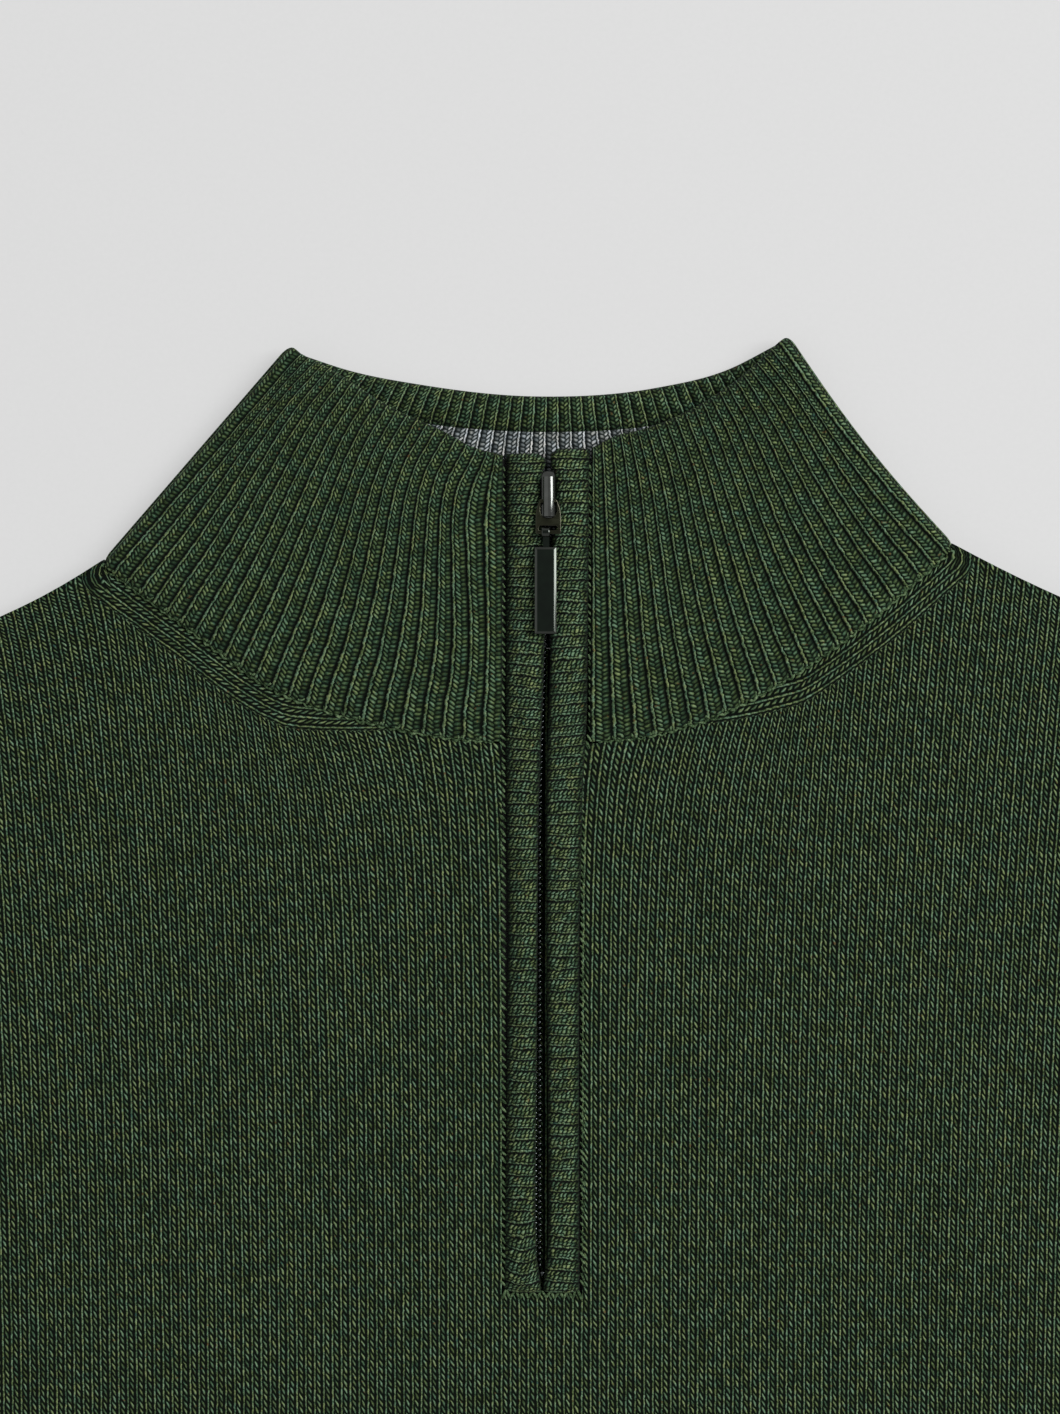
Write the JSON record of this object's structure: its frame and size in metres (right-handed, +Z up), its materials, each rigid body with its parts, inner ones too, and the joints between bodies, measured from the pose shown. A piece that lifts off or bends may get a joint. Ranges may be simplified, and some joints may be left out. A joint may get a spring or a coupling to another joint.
{
  "type": "quarter zip sweater",
  "caption": "Men's knitted sweater laid flat, front up, with a ribbed stand-up collar, a short zip behind ribbed facings, long sleeves, and ribbed cuffs and hem.",
  "frame": {"origin": "on the surface that the sweater lies on, under the middle of its box", "axes": "+Z up out of the front, +Y towards the head, +X towards the wearer's left sleeve"},
  "size_m": [1.3816, 0.7429, 0.0123],
  "materials": {
    "green_knit": "marled wool jersey",
    "green_rib": "marled wool rib",
    "grey_knit": "marled grey wool knit",
    "zip_tape": "woven zip tape",
    "zip_coil": "black nylon coil",
    "bright_metal": "polished dark nickel",
    "gunmetal": "satin gunmetal plating"
  },
  "bodies": {
    "sweater": {"front": "green_knit", "back": "green_knit", "sleeve_left": "green_knit", "sleeve_right": "green_knit", "cuff_left": "green_rib", "cuff_right": "green_rib", "hem_front": "green_rib", "hem_back": "green_rib", "collar": "green_rib", "inner_collar": "grey_knit", "placket_left": "green_rib", "placket_right": "green_rib", "zip_tape_left": "zip_tape", "zip_tape_right": "zip_tape", "zip_chain": "zip_coil", "slider": "bright_metal"},
    "bail": {"bail": "gunmetal"},
    "pull_tab": {"pull_tab": "gunmetal"}
  },
  "joints": [
    {"name": "bail_swing", "type": "hinge", "parent": "sweater", "child": "bail", "pos_m": [0.0006, 0.3326, 0.0106], "axis": [-1, 0, 0], "range_deg": [0, 110]},
    {"name": "tab_swing", "type": "hinge", "parent": "bail", "child": "pull_tab", "pos_m": [-0.0001, 0.3252, 0.0106], "axis": [-1, 0, 0], "range_deg": [0, 90]}
  ]
}
